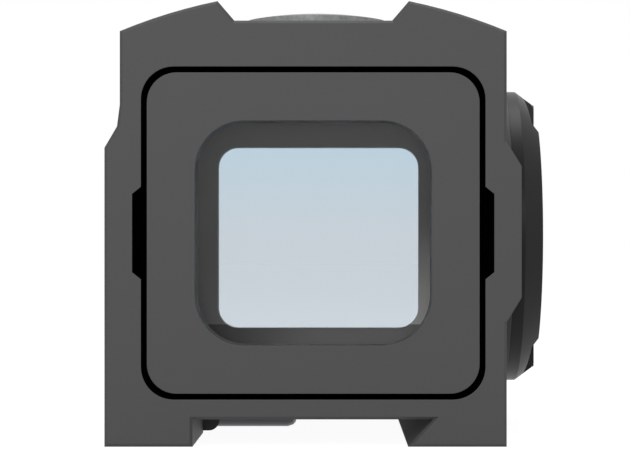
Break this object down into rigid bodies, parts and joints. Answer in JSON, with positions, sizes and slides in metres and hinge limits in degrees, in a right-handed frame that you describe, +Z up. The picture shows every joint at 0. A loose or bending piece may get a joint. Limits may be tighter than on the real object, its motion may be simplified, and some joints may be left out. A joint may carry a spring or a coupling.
{
  "type": "red dot finder",
  "caption": "Closed-housing reflex sight that shows a red dot on the view, with a dovetail rail clamp, elevation and windage dials, two brightness buttons and a coin cell under a screw cap.",
  "frame": {"origin": "middle of the rail seat, the flat roof of the dovetail channel between the feet", "axes": "+Z up, +Y away from the viewer along the optical axis, +X towards the battery cap"},
  "size_m": [0.0327, 0.047, 0.0329],
  "materials": {
    "anodised_body": "hard-anodised, matt dark grey",
    "anodised_trim": "hard-anodised, matt dark grey",
    "steel_dark": "black oxide",
    "steel_bright": "plain",
    "brass": "machined",
    "rubber": "matt",
    "coated_glass": "anti-reflection coated",
    "board": "solder mask",
    "black_plastic": "matt",
    "amber_chip": "clear resin",
    "flex_film": "polyimide film",
    "nickel": "nickel plated"
  },
  "bodies": {
    "sight": {"housing": "anodised_body", "rear_bezel": "anodised_body", "rear_window_seal": "rubber", "rear_window": "coated_glass", "front_bezel": "anodised_body", "objective_seal": "rubber", "objective_rear_lens": "coated_glass", "objective_front_lens": "coated_glass", "keypad_cover": "anodised_trim", "keypad_gasket": "rubber", "keypad_screws": "steel_dark", "circuit_board": "board", "button_switches": "steel_bright", "battery_cell": "nickel", "battery_contact": "nickel", "elevation_retainer": "steel_dark", "elevation_seal": "rubber", "windage_retainer": "steel_bright", "purge_screw": "steel_dark", "emitter_spring": "steel_bright", "windage_spring": "steel_bright"},
    "cap_seal": {"battery_cap_seal": "rubber"},
    "cap": {"battery_cap": "anodised_trim"},
    "elevation": {"elevation_dial": "anodised_trim", "elevation_spindle": "brass"},
    "elevation_plunger": {"elevation_plunger": "steel_bright"},
    "windage": {"windage_dial": "steel_dark"},
    "windage_plunger": {"windage_plunger": "steel_bright"},
    "carriage": {"windage_carriage": "brass"},
    "emitter": {"emitter_frame": "anodised_trim", "emitter_led": "amber_chip", "emitter_flex": "flex_film"},
    "up_button": {"up_button": "rubber"},
    "down_button": {"down_button": "rubber"},
    "jaw": {"clamp_jaw": "anodised_trim", "jaw_guide_pins": "steel_dark", "clamp_clip": "steel_bright"},
    "clamp_screw": {"clamp_screw": "steel_dark"}
  },
  "joints": [
    {"name": "cap_travel", "type": "slide", "parent": "sight", "child": "cap_seal", "axis": [1, 0, 0], "range_m": [0, 0.002]},
    {"name": "cap_turn", "type": "hinge", "parent": "cap_seal", "child": "cap", "pos_m": [0, 0, 0.0131], "axis": [1, 0, 0], "range_deg": [0, 720]},
    {"name": "elevation_turn", "type": "hinge", "parent": "sight", "child": "elevation", "pos_m": [0, 0, 0.029], "axis": [0, 0, 1], "range_deg": [-360, 360]},
    {"name": "elevation_travel", "type": "slide", "parent": "sight", "child": "elevation_plunger", "axis": [0, 0, 1], "range_m": [-0.0005, 0.0005]},
    {"name": "windage_turn", "type": "hinge", "parent": "sight", "child": "windage", "pos_m": [0, -0.0168, 0.0131], "axis": [1, 0, 0], "range_deg": [-360, 360]},
    {"name": "windage_travel", "type": "slide", "parent": "sight", "child": "windage_plunger", "axis": [1, 0, 0], "range_m": [-0.0005, 0.0005]},
    {"name": "carriage_travel", "type": "slide", "parent": "sight", "child": "carriage", "axis": [1, 0, 0], "range_m": [-0.0005, 0.0005], "deforming": ["windage_spring"]},
    {"name": "emitter_travel", "type": "slide", "parent": "carriage", "child": "emitter", "axis": [0, 0, 1], "range_m": [-0.0005, 0.0005], "deforming": ["emitter_spring"]},
    {"name": "up_press", "type": "slide", "parent": "sight", "child": "up_button", "axis": [1, 0, 0], "range_m": [0, 0.0003], "stiffness_N_per_m": 4000},
    {"name": "down_press", "type": "slide", "parent": "sight", "child": "down_button", "axis": [1, 0, 0], "range_m": [0, 0.0003], "stiffness_N_per_m": 4000},
    {"name": "jaw_travel", "type": "slide", "parent": "sight", "child": "jaw", "axis": [1, 0, 0], "range_m": [-0.0013, 0.0006]},
    {"name": "clamp_turn", "type": "hinge", "parent": "jaw", "child": "clamp_screw", "pos_m": [-0.0125, 0, 0.0013], "axis": [1, 0, 0], "range_deg": [-1040, 480]}
  ],
  "couplings": [
    {"joint": "cap_turn", "follows": "cap_travel", "rad_per_m": 6283.2},
    {"joint": "elevation_turn", "follows": "elevation_travel", "rad_per_m": -12566},
    {"joint": "emitter_travel", "follows": "elevation_travel", "ratio": 1},
    {"joint": "windage_turn", "follows": "windage_travel", "rad_per_m": -12566},
    {"joint": "carriage_travel", "follows": "windage_travel", "ratio": 1},
    {"joint": "clamp_turn", "follows": "jaw_travel", "rad_per_m": 13963}
  ]
}
